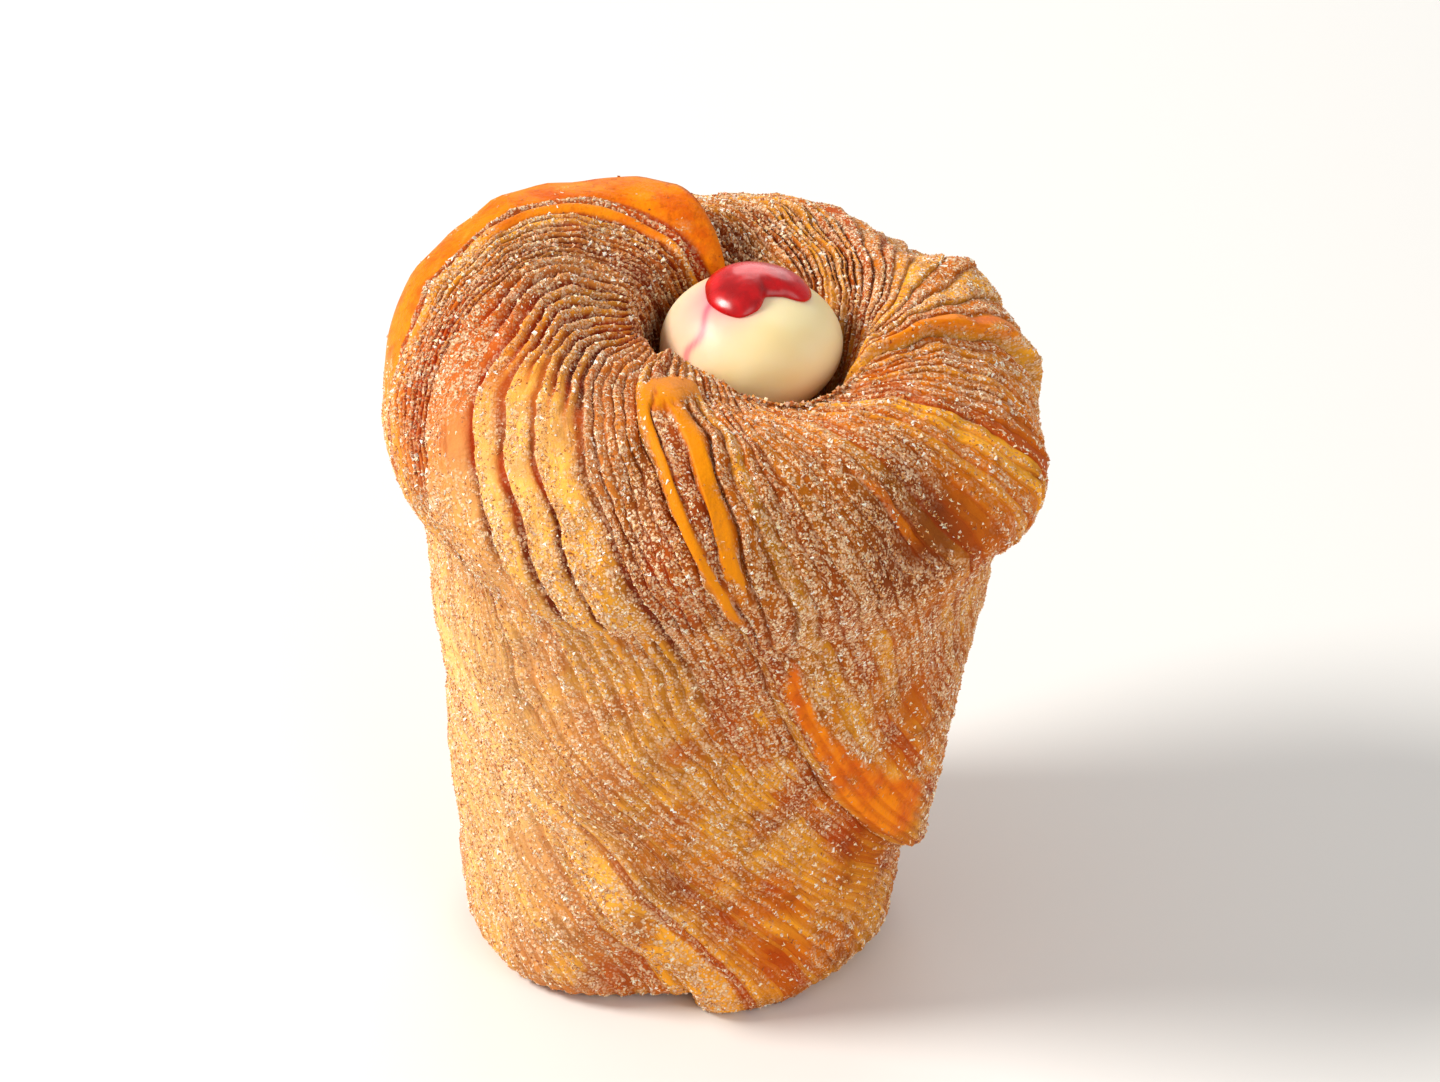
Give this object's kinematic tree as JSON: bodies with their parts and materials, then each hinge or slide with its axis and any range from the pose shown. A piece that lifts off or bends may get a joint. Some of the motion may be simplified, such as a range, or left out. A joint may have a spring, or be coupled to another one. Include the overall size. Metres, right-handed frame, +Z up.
{
  "type": "cruffin",
  "caption": "Tall laminated pastry baked in a deep cup tin, with a leaning swirled crown, a cream dollop in its pocket and jam on top.",
  "frame": {"origin": "middle of the flat face under the base, on the floor", "axes": "+Z up, -Y towards the viewer of the front, the crown leans towards +X"},
  "size_m": [0.0824, 0.0856, 0.094],
  "materials": {
    "pastry": "baked crust, matte, dusted with sugar",
    "cream": "smooth satin custard cream",
    "jam": "wet glossy dark red fruit jam"
  },
  "bodies": {
    "root": {"pastry": "pastry", "cream": "cream", "jam": "jam"}
  },
  "joints": []
}
